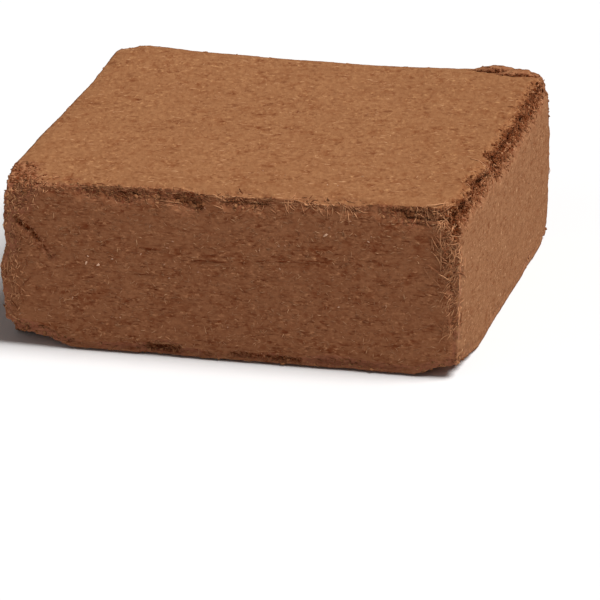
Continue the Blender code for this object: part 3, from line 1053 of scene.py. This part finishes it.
def build_bale():
    """The bale's body with its crusts, fibres and crumbs."""
    pith = pith_material()
    bale = pressed_block(pith)
    crusts = [lifted_crust(crust, number, pith) for number, crust in enumerate(CRUSTS)]
    join_into(bale, crusts)
    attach(bale, "root")
    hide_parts("coir_bale")
    surface = Surface(bale.data)
    right, up = surface.facing[:, X], surface.facing[:, Z]
    above = up > FACES_AXIS
    on_sides = (np.abs(up) < FACES_AXIS) * np.where(right > FACES_AXIS, RIGHT_SHARE, 1.0)
    on_sides += UNDER_SHARE * (up < -FACES_AXIS)
    upper = fibre_material("coir fibre pressed flush", "#83502d", "#c79a73")
    flush = fibre_material("coir fibre pressed flush", "#6d3c24", "#c79a73")
    torn = fibre_material("coir fibre torn loose", "#703719", "#bd8a63")
    fuzz = fibre_material("coir fuzz rubbed up", "#6a3518", "#b0835c")
    crumbled = fibre_material("coir pith crumbled", "#622e13", "#a67753")
    frayed = fibre_material("coir fibre frayed loose", "#6a2a0c", "#cb956c")
    snapped = fibre_material("coir fibre snapped short", "#8a5638", "#dcb598")
    pieces = [
        pressed_fibres("fibres_in_upper_face", surface, TOP_FIBRES, 11, 4200, above, LYING_ABOVE, upper),
        pressed_fibres("fibres_in_sides", surface, SIDE_FIBRES, 17, 9800, on_sides, LYING_AROUND, flush),
        torn_fibres("rim_fibres", surface, RIM_FIBRES, 12, 2300, 1, fibre_tones, torn),
        torn_fibres("rim_fuzz", surface, RIM_FUZZ, 13, 3000, 2, pith_tones, fuzz),
        rim_crumbs("pith_crumbs", surface, 14, 4200, crumbled),
        tufts("loose_fibres", surface, TUFTS, 21, frayed),
        tufts("pale_specks", surface, SPECKS, 22, snapped),
    ]
    for piece in pieces:
        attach(piece, "root")


def pressed_fibres(name, surface, kind, seed, count, pick, lying, material):
    """Short fibres pressed flush in some of the faces."""
    draw = np.random.default_rng(seed)
    spots, _ = surface.spots(draw, count, pick * (1.0 - surface.wear))
    headings = [draw.normal(size=3) * lying for _ in spots]
    # A share of them get a painted highlight
    tones = draw.beta(*PRESSED_TONES, len(spots)) + HIGHLIGHT_MORE * (draw.random(len(spots)) < HIGHLIGHT_SHARE)
    return grown(name, surface, kind, draw, spots, headings, tones, material)


def fibre_tones(draw, shaded_hollow):
    """How pale torn fibres are, with shade painted on those that lie in hollows."""
    return draw.beta(*TORN_TONES, len(shaded_hollow)) * (1.0 - FIBRE_SHADE * np.minimum(shaded_hollow, 1.0))


def pith_tones(draw, shaded_hollow):
    """How pale torn pith is, with shade painted on it in the hollows."""
    deep = np.minimum(shaded_hollow, 1.0)
    drawn = draw.beta(*PITH_TONES, len(shaded_hollow))
    return PITH_LEAST * (1.0 - deep) + (1.0 - PITH_LEAST) * drawn * (1.0 - PITH_SHADE * deep)


def torn_fibres(name, surface, kind, seed, count, closeness, tones_of, material):
    """Fibres on the torn rims. A higher closeness keeps them to where the skin is all gone."""
    draw = np.random.default_rng(seed)
    spots, at = surface.spots(draw, count, surface.wear ** closeness * (OLD_FIBRES + surface.fresh))
    headings = [along_rim(draw, spot) for spot in spots]
    tones = tones_of(draw, surface.shaded_hollow[at])
    return grown(name, surface, kind, draw, spots, headings, tones, material)


def rim_crumbs(name, surface, seed, count, material):
    """Granules of pith in the torn rims."""
    draw = np.random.default_rng(seed)
    spots, at = surface.spots(draw, count, surface.wear ** 2 * (OLD_CRUMBS + surface.fresh))
    sizes = (LEAST_CRUMB + MORE_CRUMB * draw.beta(*CRUMB_SIZES, len(spots))) * MM
    tones = pith_tones(draw, surface.shaded_hollow[at])
    mesh = crumbs_mesh(name, draw, spots, sizes, tones)
    set_places(mesh, on_floor(at_vertices(mesh)))
    return placed(name, mesh, material)


@dataclass
class Tuft:
    """Loose fibres that start around a line and lean one way. spread is how far they stray from the line in
    millimetres, and tone is how pale they are."""

    kind: FibreKind
    start: tuple
    end: tuple
    count: int
    spread: float
    heading: tuple
    stray: float
    tone: float


TUFTS = [
    # The front right edge: slanting fibres over painted shade in their gaps, thick above and thinner below
    (LONG_TUFT, (141, -152, 108), (143, -152, 62), 110, 8.0, (0.5, 0, 1.0), 0.45, 0.65),
    (SHORT_TUFT, (142, -152, 108), (143, -152, 62), 90, 9.0, (0.3, 0, 1.0), 0.8, 0.65),
    (SHORT_TUFT, (143, -152, 70), (145, -152, 28), 90, 7.0, (0.5, 0, 1.0), 0.6, 0.6),
    # Curls that hang down at the corner and from the right end of the front rim
    (LONG_TUFT, (122, 112), (148, 112), 24, 2.0, (0.1, 0, -1.0), 0.35, 0.7),
    # Frays over the front rim
    (SHORT_TUFT, (36, 112), (84, 110), 60, 3.0, (0.1, 0, -1.0), 0.4, 0.65),
    (SHORT_TUFT, (-95, 110), (30, 108), 60, 5.0, (1.0, 0, 0.0), 0.25, 0.6),
    (STRAIGHT, (-100, 110), (-20, 109), 24, 4.0, (1.0, 0, 0.0), 0.12, 0.75),
    (STRAIGHT, (-15, 111), (60, 110), 30, 2.5, (1.0, 0, 0.0), 0.12, 0.85),
    # Curls along the hollowed right rim
    (LONG_TUFT, (150, -72, 110), (150, -44, 110), 14, 4.0, (0.0, 0.6, 0.4), 0.8, 0.55),
    (SHORT_TUFT, (151, -140, 108), (151, 130, 108), 130, 7.0, (0.0, 0.8, 0.4), 0.6, 0.5),
    # The front left edge, matted and coarse
    (SHORT_TUFT, (-141, 108), (-143, 20), 70, 9.0, (0.2, 0, 1.0), 0.4, 0.5),
    (MAT, (-142, 110), (-144, 24), 240, 9.0, (0.6, 0, 0.8), 0.8, 0.65),
    (MAT, (-144, 112), (-118, 110), 160, 12.0, (1.0, 0, 0.3), 0.8, 0.45),
    # Level seams in the front, where one layer ends on another
    (STRAIGHT, (-58, 72.8), (-44, 72), 7, 0.8, (1, 0, -0.04), 0.03, 0.05),
    (STRAIGHT, (-35, 67.3), (-6, 68), 12, 0.8, (1, 0, 0.02), 0.03, 0.0),
    (STRAIGHT, (-30, 65.8), (100, 75.4), 22, 0.8, (1, 0, 0.07), 0.03, 0.12),
    (STRAIGHT, (-65, 55), (-54, 56), 5, 0.8, (1, 0, 0.07), 0.03, 0.1),
    # A lump of fibre that sticks out of the left upper rim
    (SHORT_TUFT, (-151, 2, 114), (-151, 8, 115), 8, 1.5, (-0.2, 1, 0.2), 0.6, 0.3),
    # A few at the lower front rim
    (SHORT_TUFT, (-52, 8), (-36, 6), 12, 3.0, (0.6, 0, -0.6), 0.8, 0.6),
    # One that sticks out behind the lifted crusts
    (SHORT_TUFT, (138, 138, 121), (140, 138, 121), 3, 1.0, (1.0, 0.3, 0.3), 0.5, 0.3),
]

# Pale specks in the front: ends of fibre that face out
SPECKS = [
    (BRIGHT_SPECK, (-93, 59), (-93, 59), 2, 0.3, (0.3, 0, 1), 0.3, 0.7),
    (BRIGHT_SPECK, (-86, 58.9), (-86, 58.9), 2, 0.3, (1, 0, 0.2), 0.3, 0.9),
    (SPECK, (-42.4, 63), (-42, 63), 2, 0.3, (1, 0, 0.5), 0.3, 0.7),
    (SPECK, (-36.3, 78.8), (-36, 78.8), 2, 0.3, (1, 0, 0), 0.3, 0.5),
    (BRIGHT_SPECK, (62.5, 89.6), (64, 90.4), 4, 0.3, (1, 0, 0.5), 0.1, 0.9),
    (SPECK, (-140, 20), (140, 100), 60, 60.0, (1, 0, 0.2), 0.8, 0.35),
]


# How much the tones of a tuft's fibres differ, and the palest that they get.
TONE_SPREAD = 0.25
PALEST = 1.1


def tufts(name, surface, rows, seed, material):
    """The fibres that are seen one by one, each tuft where it is on the bale."""
    draw = np.random.default_rng(seed)
    bundles = []
    for number, tuft in enumerate(Tuft(*row) for row in rows):
        start, end, size = on_bale(tuft.start), on_bale(tuft.end), (tuft.count, 3)
        line = start + draw.random((tuft.count, 1)) * (end - start)
        spots = (line + draw.normal(size=size) * tuft.spread / 2) * MM
        headings = np.array(tuft.heading) + draw.normal(size=size) * tuft.stray
        tones = np.clip(tuft.tone + draw.normal(size=tuft.count) * TONE_SPREAD, 0.0, PALEST)
        part = name if number == 0 else f"{name}_{number}"
        bundles.append(grown(part, surface, tuft.kind, draw, spots, headings, tones, material))
    return join_into(bundles[0], bundles[1:])


FLOOR_SIZE = 6.0


def soft_light(name, energy, width, direction):
    """A broad even light from a direction, this many degrees wide."""
    light = bpy.data.lights.new(name, "SUN")
    light.energy = energy
    light.angle = math.radians(width)
    in_scene(name, light).rotation_euler = Vector(direction).to_track_quat("Z", "Y").to_euler()


def studio():
    """A floor of matte paper, even and without shine, with a soft light from the upper right, a weak one from
    the left and a pale room."""
    mesh = bpy.data.meshes.new("floor")
    edge = FLOOR_SIZE / 2
    corners = [(-edge, -edge, 0), (edge, -edge, 0), (edge, edge, 0), (-edge, edge, 0)]
    mesh.from_pydata(corners, [], [(0, 1, 2, 3)])
    material, _, shader = new_material("pale paper floor", 1.0)
    shader.inputs["Base Color"].default_value = (0.76, 0.76, 0.76, 1.0)
    floor = placed("floor", mesh, material)
    floor.location.z = -0.2 * MM
    soft_light("key", 4.3, 34, (0.48, -0.05, 0.87))
    soft_light("fill", 0.45, 70, (-0.5, -0.84, 0.2))
    world = bpy.data.worlds.new("pale room")
    world.use_nodes = True
    room = world.node_tree.nodes["Background"].inputs
    room["Strength"].default_value = 0.13
    room["Color"].default_value = (1.0, 0.88, 0.84, 1.0)
    bpy.context.scene.world = world
    bpy.context.scene.view_settings.view_transform = "Standard"


CAMERA_PLACE = (0.7445, -3.0672, 1.0725)
CAMERA_TURN = math.radians(13.446)
CAMERA_TILT = math.radians(18.901)


def camera():
    """The photograph's view: from far off, to the right and above."""
    lens = bpy.data.cameras.new("camera")
    lens.lens = 300
    lens.sensor_width = 36
    lens.clip_end = 100
    viewer = in_scene("camera", lens)
    viewer.location = CAMERA_PLACE
    viewer.rotation_euler = (math.pi / 2 - CAMERA_TILT, 0.0, CAMERA_TURN)
    bpy.context.scene.camera = viewer


camera()
studio()
build_bale()
